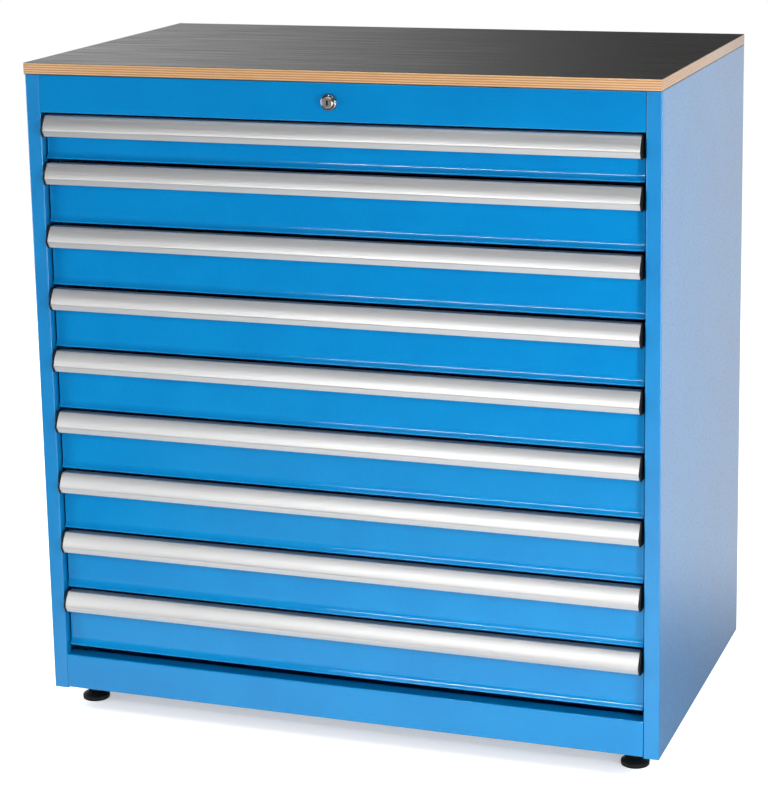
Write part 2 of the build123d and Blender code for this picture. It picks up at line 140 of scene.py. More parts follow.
def rounded_outline(corners: Sequence[Corner], steps: int = 6) -> list[Vector]:
    """Closed outline whose corners are rounded.

    Args:
        corners: Corners in order, each as two coordinates and a radius, which is 0 for a sharp corner.
        steps: Chords in each round.

    Returns:
        The points of the outline.
    """
    points = []
    for index, (first, second, radius) in enumerate(corners):
        corner = Vector((first, second))
        if radius == 0:
            points.append(corner)
            continue
        back = (Vector(corners[index - 1][:2]) - corner).normalized()
        ahead = (Vector(corners[(index + 1) % len(corners)][:2]) - corner).normalized()
        half = back.angle(ahead) / 2
        centre = corner + (back + ahead).normalized() * (radius / math.sin(half))
        start = corner + back * (radius / math.tan(half)) - centre
        stop = corner + ahead * (radius / math.tan(half)) - centre
        points += [centre + start.slerp(stop, step / steps) * radius for step in range(steps + 1)]
    return points


def beside(line: Sequence[Vector], wall: float) -> list[Vector]:
    """Points of the line that runs one wall away on the left of an open line.

    Args:
        line: Points of the open line.
        wall: Distance between the two lines.

    Returns:
        One point for each point of the line.
    """
    lefts = []
    for start, stop in zip(line, line[1:]):
        ahead = (stop - start).normalized()
        lefts.append(Vector((-ahead.y, ahead.x)))
    pairs = zip([lefts[0], *lefts], [*lefts, lefts[-1]])
    return [point + (a + b) * (wall / (1 + a.dot(b))) for point, (a, b) in zip(line, pairs)]


def join_rings(shape: Shape, low: Ring, high: Ring) -> list[bmesh.types.BMFace]:
    """Add the faces between two rings of as many points.

    Args:
        shape: Mesh that takes the faces.
        low: Points of one ring.
        high: Points of the other ring.

    Returns:
        The faces, each in the place of the point that it leads up to.
    """
    return [shape.faces.new((low[at - 1], low[at], high[at], high[at - 1])) for at in range(len(low))]


def add_prism(shape: Shape, outline: Sequence[Vector], span: Span, run: Run) -> None:
    """Add a closed solid of one outline run between two places.

    Args:
        shape: Mesh that takes the solid.
        outline: Points of the section.
        span: Start and end of the run.
        run: Direction of the run.
    """
    start, stop = [[shape.verts.new(run.point(along, *point)) for point in outline] for along in span]
    shape.faces.new(start)
    shape.faces.new(stop[::-1])
    join_rings(shape, start, stop)


def add_turned(
    shape: Shape, profile: Sequence[Span], centre: Vector, run: Run, segments: int, flip: float = 1.0
) -> None:
    """Add a turned solid.

    Args:
        shape: Mesh that takes the solid.
        profile: Places along the axis with their radii. A profile that starts and ends at radius 0 is solid,
            and any other one closes on itself as a ring.
        centre: Point of the axis where the profile's places start.
        run: Direction of the axis.
        segments: Flats around the axis.
        flip: Direction in which the profile's places are counted along the axis, 1 or -1.
    """
    rings = []
    for along, radius in profile:
        count = segments if radius > TINY else 1
        angles = [2 * math.pi * step / count for step in range(count)]
        rings.append([shape.verts.new(centre + run.polar(flip * along, radius, angle)) for angle in angles])
    pairs = list(zip(rings, rings[1:]))
    if profile[0][1] > TINY:
        pairs.append((rings[-1], rings[0]))
    for low, high in pairs:
        for step in range(segments):
            spots = ((low, step), (low, step + 1), (high, step + 1), (high, step))
            shape.faces.new(dict.fromkeys(ring[spot % len(ring)] for ring, spot in spots))


def make_piece(name: str, shape: Shape, body: str, slot: Slot, *finishes: Material) -> Piece:
    """Turn a mesh into a piece that rides on a body.

    Args:
        name: Name of the piece.
        shape: Its mesh, in the row frame.
        body: Body that carries it.
        slot: Material slot of the record; not used.
        *finishes: Materials, in the order of the faces' material numbers.

    Returns:
        The new piece.
    """
    bmesh.ops.recalc_face_normals(shape, faces=shape.faces)
    mesh = bpy.data.meshes.new(name)
    shape.to_mesh(mesh)
    shape.free()
    for finish in finishes:
        mesh.materials.append(finish)
    mesh.shade_smooth()
    mesh.set_sharp_from_angle(angle=SHARP_ANGLE)
    piece = bpy.data.objects.new(name, mesh)
    bpy.context.scene.collection.objects.link(piece)
    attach(piece, body)
    log.info("%s rides on %s, %d faces", name, body, len(mesh.polygons))
    return piece


def soften(piece: Piece, width: float, segments: int) -> None:
    """Round the sharp edges of a piece.

    Args:
        piece: Piece to soften.
        width: Width of the round.
        segments: Chords in each round.
    """
    bevel = piece.modifiers.new("soft_edges", "BEVEL")
    bevel.width = width
    bevel.segments = segments
    bevel.limit_method = "ANGLE"
    bevel.angle_limit = SHARP_ANGLE
    bevel.harden_normals = True


def dress(node: str, finish: Material) -> None:
    """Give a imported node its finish.

    Args:
        node: Name of the node.
        finish: Material for all of its faces.
    """
    packed = frame["nodes"][node]
    for holder in packed.material_slots:
        holder.material = finish
    log.info("%s keeps its packed shape in %s", node, finish.name)


class Graph:
    """Node tree with short ways to add nodes that work on values."""

    def __init__(self, tree: bpy.types.NodeTree) -> None:
        """Take over the nodes and the links of a tree."""
        self.nodes = tree.nodes
        self.links = tree.links

    def math(self, operation: str, *terms: float | Socket) -> Socket:
        """Work on numbers and outputs.

        Args:
            operation: Name of the operation.
            *terms: Its one or two terms.

        Returns:
            Output with the result.
        """
        node = self.nodes.new("ShaderNodeMath")
        node.operation = operation
        for socket, term in zip(node.inputs, terms):
            if isinstance(term, Socket):
                self.links.new(term, socket)
            else:
                socket.default_value = term
        return node.outputs["Value"]

    def fade(self, value: Socket, source: Span, target: Span) -> Socket:
        """Pass softly from one level to another.

        Args:
            value: Output that drives the change.
            source: Values where it starts and ends.
            target: Levels at the start and at the end.

        Returns:
            Output with the level.
        """
        node = self.nodes.new("ShaderNodeMapRange")
        node.interpolation_type = "SMOOTHSTEP"
        for name, number in zip(("From Min", "From Max", "To Min", "To Max"), (*source, *target)):
            node.inputs[name].default_value = number
        self.links.new(value, node.inputs["Value"])
        return node.outputs["Result"]

    def axes(self, coordinates: str) -> tuple[Socket, ...]:
        """Split up one kind of coordinates.

        Args:
            coordinates: Name of the kind.

        Returns:
            Outputs with X, Y and Z.
        """
        place = self.nodes.new("ShaderNodeTexCoord").outputs[coordinates]
        parts = self.nodes.new("ShaderNodeSeparateXYZ")
        self.links.new(place, parts.inputs["Vector"])
        return tuple(parts.outputs)

    def ray(self, *kinds: str) -> Socket:
        """Tell some kinds of rays from all others.

        Args:
            *kinds: Names of the kinds.

        Returns:
            Output that is 1 for rays of these kinds.
        """
        path = self.nodes.new("ShaderNodeLightPath")
        latest = path.outputs[kinds[0]]
        for kind in kinds[1:]:
            latest = self.math("MAXIMUM", latest, path.outputs[kind])
        return latest


class Shader:
    """One procedural material: a principled surface, and short ways to feed its sockets."""

    def __init__(self, name: str, metallic: float = 0.0, specular: float = 0.5) -> None:
        """Start the material on object coordinates, which are those of the frame at rest.

        Args:
            name: Name of the material.
            metallic: 1 for bare metal, 0 for anything else.
            specular: Strength of the reflection of anything but metal.
        """
        self.material = bpy.data.materials.new(name)
        self.material.use_nodes = True
        self.tree = self.material.node_tree
        self.surface = self.tree.nodes["Principled BSDF"]
        self.surface.inputs["Metallic"].default_value = metallic
        self.surface.inputs["Specular IOR Level"].default_value = specular
        self.place = self.tree.nodes.new("ShaderNodeTexCoord").outputs["Object"]
        self.graph = Graph(self.tree)

    def feed(self, socket: str, source: Socket) -> None:
        """Join an output to a socket of the surface."""
        self.tree.links.new(source, self.surface.inputs[socket])

    def noise(self, size: float, detail: Detail = Detail.PLAIN, stretch: Place = (1.0, 1.0, 1.0)) -> Socket:
        """Noise with patches of one size.

        Args:
            size: Width of a patch.
            detail: Number of finer layers.
            stretch: How many times longer the patches are along X, Y and Z.

        Returns:
            Output with values around 0.5.
        """
        mapping = self.tree.nodes.new("ShaderNodeMapping")
        mapping.inputs["Scale"].default_value = [1 / (size * times) for times in stretch]
        self.tree.links.new(self.place, mapping.inputs["Vector"])
        noise = self.tree.nodes.new("ShaderNodeTexNoise")
        noise.inputs["Scale"].default_value = 1.0
        noise.inputs["Detail"].default_value = detail.value
        self.tree.links.new(mapping.outputs["Vector"], noise.inputs["Vector"])
        return noise.outputs["Fac"]

    def tint(self, value: Socket, low: Colour, high: Colour) -> None:
        """Colour the surface between two shades.

        Args:
            value: Noise that picks the shade.
            low: Shade at its low values.
            high: Shade at its high values.
        """
        ramp = self.tree.nodes.new("ShaderNodeValToRGB")
        for stop, place, shade in zip(ramp.color_ramp.elements, NOISE_SPAN, (low, high)):
            stop.position = place
            stop.color = (*shade, 1.0)
        self.tree.links.new(value, ramp.inputs["Fac"])
        self.feed("Base Color", ramp.outputs["Color"])

    def relief(self, *layers: tuple[Socket, float]) -> Socket:
        """Fine relief.

        Args:
            *layers: Outputs with the depth of their relief, the coarsest first.

        Returns:
            Output with the normal of the relief.
        """
        below = None
        for height, depth in layers:
            bump = self.tree.nodes.new("ShaderNodeBump")
            bump.inputs["Strength"].default_value = 1.0
            bump.inputs["Distance"].default_value = depth
            self.tree.links.new(height, bump.inputs["Height"])
            if below is not None:
                self.tree.links.new(below, bump.inputs["Normal"])
            below = bump.outputs["Normal"]
        return below

    def varnish(self, roughness: float, index: float) -> None:
        """Lay a clear coat over the surface.

        Args:
            roughness: Roughness of the coat.
            index: Refractive index of the coat.
        """
        for socket, number in (("Coat Weight", 1.0), ("Coat Roughness", roughness), ("Coat IOR", index)):
            self.surface.inputs[socket].default_value = number

    def finish(self, value: Socket, roughness: Span, *layers: tuple[Socket, float]) -> Material:
        """Let the roughness vary and lay the relief.

        Args:
            value: Noise that picks the roughness.
            roughness: Roughness at its low and at its high values.
            *layers: Outputs with the depth of their relief, the coarsest first.

        Returns:
            The finished material.
        """
        self.feed("Roughness", self.graph.fade(value, NOISE_SPAN, roughness))
        self.feed("Normal", self.relief(*layers))
        return self.material


@dataclass(frozen=True)
class PowderCoat:
    """Semi-gloss blue powder coat, whose grain breaks up the lamps that it mirrors."""

    name: str
    grain_depth: float
    peel_depth: float
    gloss_roughness: float
    gloss_index: float
    thin: Colour = (0.001, 0.190, 0.500)
    thick: Colour = (0.001, 0.214, 0.535)
    roughness: Span = (0.26, 0.32)
    specular: float = 0.05
    cloud_size: float = 90 * MM
    peel_size: float = 3.0 * MM
    grain_size: float = 2.4 * MM

    def make(self) -> Material:
        """Build the material.

        Returns:
            The material.
        """
        shader = Shader(self.name, specular=self.specular)
        shader.tint(shader.noise(self.cloud_size, Detail.RICH), self.thin, self.thick)
        shader.varnish(self.gloss_roughness, self.gloss_index)
        shader.feed("Coat Normal", shader.relief((shader.noise(self.grain_size), self.grain_depth)))
        peel = shader.noise(self.peel_size)
        return shader.finish(peel, self.roughness, (peel, self.peel_depth))


@dataclass(frozen=True)
class SatinAluminium:
    """Anodised aluminium, drawn lengthwise."""

    dull: Colour = (0.86, 0.86, 0.865)
    bright: Colour = (0.92, 0.92, 0.92)
    roughness: Span = (0.43, 0.50)
    line_size: float = 0.5 * MM
    line_length: float = 300.0
    line_depth: float = 0.004 * MM
    matt_size: float = 0.8 * MM
    matt_depth: float = 0.004 * MM

    def make(self) -> Material:
        """Build the material.

        Returns:
            The material.
        """
        shader = Shader("satin_aluminium", metallic=1.0)
        lines = shader.noise(self.line_size, Detail.RICH, (self.line_length, 1.0, 1.0))
        shader.tint(lines, self.dull, self.bright)
        matt = (shader.noise(self.matt_size), self.matt_depth)
        return shader.finish(lines, self.roughness, (lines, self.line_depth), matt)


@dataclass(frozen=True)
class MouldedPlastic:
    """Black plastic with the fine texture of its mould."""

    name: str
    dark: Colour = (0.003, 0.003, 0.0035)
    pale: Colour = (0.006, 0.006, 0.0065)
    roughness: Span = (0.42, 0.54)
    specular: float = 0.25
    grain_size: float = 0.9 * MM
    grain_depth: float = 0.03 * MM
    cloud_size: float = 12 * MM

    def make(self) -> Material:
        """Build the material.

        Returns:
            The material.
        """
        shader = Shader(self.name, specular=self.specular)
        shader.tint(shader.noise(self.cloud_size), self.dark, self.pale)
        grain = shader.noise(self.grain_size)
        return shader.finish(grain, self.roughness, (grain, self.grain_depth))


@dataclass(frozen=True)
class BoardFilm:
    """Dark resin film on the faces of the board, streaked by the veneer below it."""

    dark: Colour = (0.014, 0.0125, 0.012)
    pale: Colour = (0.034, 0.031, 0.030)
    roughness: Span = (0.25, 0.37)
    streak_width: float = 9 * MM
    streak_length: float = 22.0
    fleck_size: float = 1.2 * MM
    fleck_depth: float = 0.02 * MM

    def make(self) -> Material:
        """Build the material.

        Returns:
            The material.
        """
        shader = Shader("worktop_film")
        streaks = shader.noise(self.streak_width, Detail.FINE, (self.streak_length, 1.0, 1.0))
        shader.tint(streaks, self.dark, self.pale)
        flecks = shader.noise(self.fleck_size)
        return shader.finish(streaks, self.roughness, (flecks, self.fleck_depth))


@dataclass(frozen=True)
class VeneerEdge:
    """Sawn and oiled edge of one direction of veneer in the board."""

    name: str
    dark: Colour
    pale: Colour
    stretch: Place
    fibre_size: float = 0.35 * MM
    fibre_depth: float = 0.05 * MM
    roughness: Span = (0.36, 0.50)
    oil_roughness: float = 0.28
    oil_index: float = 1.5

    def make(self) -> Material:
        """Build the material.

        Returns:
            The material.
        """
        shader = Shader(self.name)
        fibres = shader.noise(self.fibre_size, Detail.RICH, self.stretch)
        shader.tint(fibres, self.dark, self.pale)
        shader.varnish(self.oil_roughness, self.oil_index)
        return shader.finish(fibres, self.roughness, (fibres, self.fibre_depth))


@dataclass(frozen=True)
class Chrome:
    """Plated brass with faint polishing marks."""

    name: str
    dull: Colour
    bright: Colour
    roughness: Span
    mark_size: float = 1.5 * MM
    mark_depth: float = 0.006 * MM

    def make(self) -> Material:
        """Build the material.

        Returns:
            The material.
        """
        shader = Shader(self.name, metallic=1.0)
        marks = shader.noise(self.mark_size, Detail.FINE)
        shader.tint(marks, self.dull, self.bright)
        return shader.finish(marks, self.roughness, (marks, self.mark_depth))


@dataclass(frozen=True)
class ZincPlate:
    """Bright zinc on rolled steel, with rolling lines along the depth."""

    dull: Colour = (0.46, 0.47, 0.50)
    bright: Colour = (0.62, 0.63, 0.66)
    roughness: Span = (0.28, 0.44)
    patch_size: float = 14 * MM
    line_size: float = 0.8 * MM
    line_length: float = 60.0
    line_depth: float = 0.02 * MM

    def make(self) -> Material:
        """Build the material.

        Returns:
            The material.
        """
        shader = Shader("zinc_plate", metallic=1.0)
        shader.tint(shader.noise(self.patch_size, Detail.RICH), self.dull, self.bright)
        lines = shader.noise(self.line_size, stretch=(1.0, self.line_length, 1.0))
        return shader.finish(lines, self.roughness, (lines, self.line_depth))


class Finishes:
    """All finishes of the cabinet, each made once."""

    def __init__(self) -> None:
        """Make every material."""
        self.front_coat = PowderCoat(
            "front_coat",
            grain_depth=0.04 * MM,
            peel_depth=0.02 * MM,
            gloss_roughness=0.09,
            gloss_index=1.53,
        ).make()
        self.panel_coat = PowderCoat(
            "panel_coat",
            grain_depth=0.001 * MM,
            peel_depth=0.005 * MM,
            gloss_roughness=0.275,
            gloss_index=1.65,
        ).make()
        self.aluminium = SatinAluminium().make()
        self.caps = MouldedPlastic("cap_moulding").make()
        self.feet = MouldedPlastic("foot_moulding").make()
        self.film = BoardFilm().make()
        self.along = VeneerEdge(
            "veneer_along", dark=(0.60, 0.36, 0.17), pale=(0.74, 0.47, 0.24), stretch=(90.0, 90.0, 1.0)
        ).make()
        self.across = VeneerEdge(
            "veneer_across", dark=(0.34, 0.14, 0.05), pale=(0.52, 0.25, 0.10), stretch=(1.0, 1.0, 2.0)
        ).make()
        self.bezel = Chrome(
            "bezel_chrome", dull=(0.30, 0.30, 0.32), bright=(0.42, 0.42, 0.44), roughness=(0.16, 0.24)
        ).make()
        self.plug = Chrome(
            "plug_chrome", dull=(0.52, 0.51, 0.49), bright=(0.68, 0.67, 0.65), roughness=(0.30, 0.40)
        ).make()
        self.zinc = ZincPlate().make()


@dataclass(frozen=True)
class Rivet:
    """Domed rivet head."""

    radius: float
    rise: float
    segments: int = 16
    dome_angles: tuple[float, ...] = (0.35, 0.75, 1.15)

    def add(self, shape: Shape, seat: Vector, run: Run, flip: float) -> None:
        """Add one head.

        Args:
            shape: Mesh that takes the head.
            seat: Middle of the face that it sits on.
            run: Direction of the rivet.
            flip: 1 where the head points along the run, -1 where it points against it.
        """
        profile = [(0.0, 0.0), (0.0, self.radius)]
        profile += [(self.rise * math.sin(a), self.radius * math.cos(a)) for a in self.dome_angles]
        profile += [(self.rise, 0.0)]
        add_turned(shape, profile, seat, run, self.segments, flip)


@dataclass
class Body:
    """Folded steel body with its back panel and what is fixed inside it."""

    finishes: Finishes
    panels: tuple[str, ...] = ("right_side_panel", "left_side_panel", "back_panel")
    pans: tuple[str, ...] = ("top_pan", "base_pan")
    fittings: tuple[str, ...] = ("cabinet_rails", "lock_shaft", "locking_bar")
    rivet: Rivet = Rivet(3.2 * MM, 1.3 * MM)
    rivet_inset: float = 14 * MM
    rivets_across: int = 7
    rivets_up: int = 7

    def build(self) -> None:
        """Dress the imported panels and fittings, and set the rivets of the back panel."""
        for panel in self.panels:
            dress(panel, self.finishes.panel_coat)
        for pan in self.pans:
            dress(pan, self.finishes.front_coat)
        for fitting in self.fittings:
            dress(fitting, self.finishes.zinc)
        self.build_rivets()

    def build_rivets(self) -> None:
        """Set domed rivets along the four edges of the back panel."""
        low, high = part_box("back_panel")
        shape = bmesh.new()
        for x, z in self.rivet_places(low, high):
            self.rivet.add(shape, Vector((x, high.y, z)), Run.DEEP, 1.0)
        make_piece("back_panel_rivets", shape, "cabinet", Slot.ZINC, self.finishes.zinc)

    def rivet_places(self, low: Vector, high: Vector) -> list[Span]:
        """Places of the rivets.

        Args:
            low: Lowest corner of the back panel.
            high: Highest corner of the back panel.

        Returns:
            X and Z of each rivet, the corners once.
        """
        inset = self.rivet_inset
        left, right = low.x + inset, high.x - inset
        bottom, top = low.z + inset, high.z - inset
        places = []
        for step in range(self.rivets_across):
            x = left + (right - left) * step / (self.rivets_across - 1)
            places += [(x, bottom), (x, top)]
        for step in range(1, self.rivets_up - 1):
            z = bottom + (top - bottom) * step / (self.rivets_up - 1)
            places += [(left, z), (right, z)]
        return places


@dataclass
class Worktop:
    """Plywood board with a dark film on both faces, the bottom film drawn thick so that it also paints the
    shadow line under the board.
    """

    finishes: Finishes
    plies: int = 9
    film_top: float = 0.5 * MM
    # Thicker than a real film: its dark band also paints the shadow line between the board and the body.
    bottom_film_and_shadow: float = 1.4 * MM
    film_inset: float = 0.2 * MM
    film_soft_steps: int = 2
    glue_groove: float = 0.12 * MM
    glue_line: float = 0.16 * MM
    corner_round: float = 1.2 * MM
    corner_steps: int = 4

    def build(self) -> None:
        """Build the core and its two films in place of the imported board."""
        low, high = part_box("worktop")
        core = self.build_core(low, high)
        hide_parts("worktop")
        for name, bottom, top in (
            ("worktop_film_top", high.z - self.film_top, high.z),
            ("worktop_film_bottom", low.z, low.z + self.bottom_film_and_shadow),
        ):
            shape = bmesh.new()
            add_prism(shape, self.outline(low, high, self.film_inset), (bottom, top), Run.UP)
            film = make_piece(name, shape, "cabinet", Slot.BOARD, self.finishes.film)
            soften(film, self.film_inset, self.film_soft_steps)

    def outline(self, low: Vector, high: Vector, inset: float) -> list[Vector]:
        """Outline of the board.

        Args:
            low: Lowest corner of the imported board.
            high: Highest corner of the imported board.
            inset: Distance inside the full outline.

        Returns:
            Points of the outline, counted anticlockwise from the front left corner.
        """
        left, right = low.x + inset, high.x - inset
        front, back = low.y + inset, high.y - inset
        corners = [(left, front), (right, front), (right, back), (left, back)]
        return rounded_outline([(*corner, self.corner_round) for corner in corners], self.corner_steps)

    def build_core(self, low: Vector, high: Vector) -> Piece:
        """Build the plies, with a fine groove at each glue line.

        Args:
            low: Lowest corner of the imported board.
            high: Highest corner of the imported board.

        Returns:
            The core.
        """
        bottom = low.z + self.bottom_film_and_shadow
        ply = (high.z - self.film_top - bottom) / self.plies
        full = self.outline(low, high, 0.0)
        groove = self.outline(low, high, self.glue_groove)
        levels = [(groove, bottom)]
        for number in range(self.plies):
            base = bottom + number * ply
            top = base + ply
            levels += [(full, base + self.glue_line), (full, top - self.glue_line), (groove, top)]
        shape = bmesh.new()
        rings = [[shape.verts.new((*point, height)) for point in outline] for outline, height in levels]
        shape.faces.new(rings[0][::-1])
        shape.faces.new(rings[-1])
        bands = (len(rings) - 1) // self.plies
        for index, (below, above) in enumerate(zip(rings, rings[1:])):
            lengthwise = index // bands % 2 == 0
            for here, face in enumerate(join_rings(shape, below, above)):
                edge = full[here] - full[here - 1]
                face.material_index = int(lengthwise != (abs(edge.x) > abs(edge.y)))
        veneers = (self.finishes.along, self.finishes.across)
        return make_piece("worktop_core", shape, "cabinet", Slot.BOARD, *veneers)


@dataclass
class HandleRail:
    """Section of a handle rail and its end caps.

    The sizes are counted forward from the drawer front and down from its top edge.
    """

    proud: float = 22.5 * MM
    height: float = 30.6 * MM
    hook: float = 4.0 * MM
    ledge: float = 10.0 * MM
    flange: float = 14.0 * MM
    nose_drop: float = 20.7 * MM
    lip_setback: float = 6.0 * MM
    wall: float = 1.8 * MM
    bulge: float = 1.2 * MM
    bulge_start: float = 0.02
    bulge_steps: int = 8
    top_round: float = 1.2 * MM
    nose_round: float = 3.0 * MM
    edge_round: float = 0.5 * MM
    groove_place: float = 4.6 * MM
    groove_width: float = 0.7 * MM
    groove_depth: float = 0.35 * MM
    cap_margin: float = 1.2 * MM
    cap_round: float = 4.0 * MM
    cap_soft: float = 0.7 * MM
    cap_soft_steps: int = 3

    def slope_points(self, start: Vector, stop: Vector) -> list[Vector]:
        """Points of the sloping face, which bulges a little and has a fine groove near its top.

        Args:
            start: Corner above the slope.
            stop: Corner below the slope.

        Returns:
            The points between the two corners.
        """
        length = (stop - start).length
        ahead = (stop - start) / length
        outward = Vector((ahead.y, -ahead.x))
        groove = (self.groove_place, self.groove_place + self.groove_width)
        first = self.top_round / length + self.bulge_start
        last = 1 - self.nose_round / length
        stations = [first + (last - first) * step / self.bulge_steps for step in range(self.bulge_steps + 1)]
        places = [(share * length, 0.0) for share in stations if not groove[0] <= share * length <= groove[1]]
        places += [(place, depth) for place in groove for depth in (0.0, self.groove_depth)]
        places.sort(key=lambda pair: (pair[0], pair[1] if pair[0] == groove[0] else -pair[1]))
        points = []
        for place, depth in places:
            share = place / length
            points.append(start + ahead * place + outward * (4 * self.bulge * share * (1 - share) - depth))
        return points

    def rail_section(self) -> list[Corner]:
        """Section of the rail.

        Returns:
            Its corners, each with its radius.
        """
        line = [
            Vector((-self.hook, -self.wall)),
            Vector((self.ledge, -self.wall)),
            Vector((self.proud, self.nose_drop)),
            Vector((self.proud - self.lip_setback, self.height)),
        ]
        inner = beside(line, self.wall)
        corners = [(*line[0], 0.0), (*line[1], self.top_round)]
        corners += [(*point, 0.0) for point in self.slope_points(line[1], line[2])]
        corners += [(*line[2], self.nose_round), (*line[3], self.edge_round), (*inner[3], self.edge_round)]
        corners += [(*inner[2], self.nose_round - self.wall), (*inner[1], self.edge_round)]
        corners += [(self.wall, 0.0, self.edge_round), (self.wall, self.flange, self.edge_round)]
        corners += [(0.0, self.flange, 0.0), (0.0, 0.0, 0.0), (*inner[0], 0.0)]
        return corners

    def cap_section(self) -> list[Corner]:
        """Section of an end cap.

        Returns:
            Its corners, each with its radius.
        """
        margin = self.cap_margin
        top, bottom = -self.wall - margin, self.height + margin
        nose = self.proud + margin
        return [
            (0.0, top, 0.0),
            (self.ledge + margin, top, self.cap_round / 2),
            (nose, self.nose_drop, self.cap_round),
            (nose - self.lip_setback, bottom, self.cap_round / 2),
            (0.0, bottom, 0.0),
        ]

    def placed(self, section: Sequence[Corner], face: float, top: float) -> list[Vector]:
        """Outline of a section, in Y and Z, at the face and the top edge of a drawer front."""
        return [Vector((face - forward, top - down)) for forward, down in rounded_outline(section)]


@dataclass
class Drawer:
    """One drawer: packed tray and slides, and a modelled handle rail, end caps, hems and rivets."""

    finishes: Finishes
    number: int
    rail: HandleRail
    tray_half: float = 466.8 * MM
    tray_front: float = -256.65 * MM
    tray_back: float = 256.35 * MM
    tray_sheet: float = 1.0 * MM
    wall_drop: float = 11.0 * MM
    hem_height: float = 9.0 * MM
    hem_sheet: float = 1.2 * MM
    hem_round: float = 0.48
    hem_steps: int = 4
    rivet: Rivet = Rivet(3.0 * MM, 1.2 * MM)
    rivet_places: tuple[float, ...] = (-0.20, 0.0, 0.20)
    slide_rise: float = 32.0 * MM

    def node(self, part: str) -> str:
        """Name of one of the drawer's nodes or pieces."""
        return f"drawer_{self.number}_{part}"

    @property
    def body(self) -> str:
        """Name of the drawer's body."""
        return f"drawer_{self.number}"

    def build(self) -> None:
        """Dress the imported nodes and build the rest."""
        dress(self.node("box"), self.finishes.front_coat)
        dress(self.node("runners"), self.finishes.zinc)
        dress(self.node("middle_rails"), self.finishes.zinc)
        low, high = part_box(self.node("box"))
        self.build_handle(high.z)
        self.build_caps(high.z)
        self.build_hems(high.z - self.wall_drop)
        self.build_rivets(low.z + self.slide_rise)

    def build_handle(self, top: float) -> None:
        """Build the handle rail.

        Args:
            top: Height of the drawer front's top edge.
        """
        low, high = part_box(self.node("handle"))
        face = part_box(self.node("end_caps"))[1].y
        shape = bmesh.new()
        add_prism(shape, self.rail.placed(self.rail.rail_section(), face, top), (low.x, high.x), Run.ACROSS)
        piece = make_piece(self.node("grip_rail"), shape, self.body, Slot.HANDLE, self.finishes.aluminium)
        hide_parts(self.node("handle"))

    def build_caps(self, top: float) -> None:
        """Build the two end caps of the handle rail.

        Args:
            top: Height of the drawer front's top edge.
        """
        low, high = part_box(self.node("end_caps"))
        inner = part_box(self.node("handle"))[1].x
        outline = self.rail.placed(self.rail.cap_section(), high.y, top)
        shape = bmesh.new()
        for span in ((low.x, -inner), (inner, high.x)):
            add_prism(shape, outline, span, Run.ACROSS)
        piece = make_piece(self.node("grip_ends"), shape, self.body, Slot.CAP, self.finishes.caps)
        soften(piece, self.rail.cap_soft, self.rail.cap_soft_steps)
        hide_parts(self.node("end_caps"))

    def hem_outline(self, outer: float, toward: float, top: float) -> list[Vector]:
        """Section of a wall's top edge, folded inwards.

        Args:
            outer: Place of the wall's outer face.
            toward: Direction of the inside, 1 or -1.
            top: Height of the wall.

        Returns:
            Points across the wall and up.
        """
        wall = outer + toward * self.tray_sheet
        inner = wall + toward * self.hem_sheet
        round_top = abs(inner - outer) * self.hem_round
        corners = [
            (outer, top, 0.0),
            (outer, top + round_top, round_top),
            (inner, top + round_top, round_top),
            (inner, top - self.hem_height, 0.0),
            (wall, top - self.hem_height, 0.0),
            (wall, top, 0.0),
        ]
        return rounded_outline(corners, self.hem_steps)

    def build_hems(self, top: float) -> None:
        """Build the folded top edges of the tray's side walls and back wall.

        Args:
            top: Height of the walls.
        """
        shape = bmesh.new()
        depth = (self.tray_front, self.tray_back - self.tray_sheet - self.hem_sheet)
        for side in SIDES:
            add_prism(shape, self.hem_outline(side * self.tray_half, -side, top), depth, Run.DEEP)
        back_half = self.tray_half - self.tray_sheet - self.hem_sheet
        add_prism(shape, self.hem_outline(self.tray_back, -1.0, top), (-back_half, back_half), Run.ACROSS)
        make_piece(self.node("tray_hems"), shape, self.body, Slot.COAT, self.finishes.panel_coat)

    def build_rivets(self, height: float) -> None:
        """Set the rivets that hold the runners, seen inside the tray.

        Args:
            height: Height of the row of rivets.
        """
        inner = self.tray_half - self.tray_sheet
        shape = bmesh.new()
        for side in SIDES:
            for y in self.rivet_places:
                self.rivet.add(shape, Vector((side * inner, y, height)), Run.ACROSS, -side)
        make_piece(self.node("tray_rivets"), shape, self.body, Slot.ZINC, self.finishes.zinc)


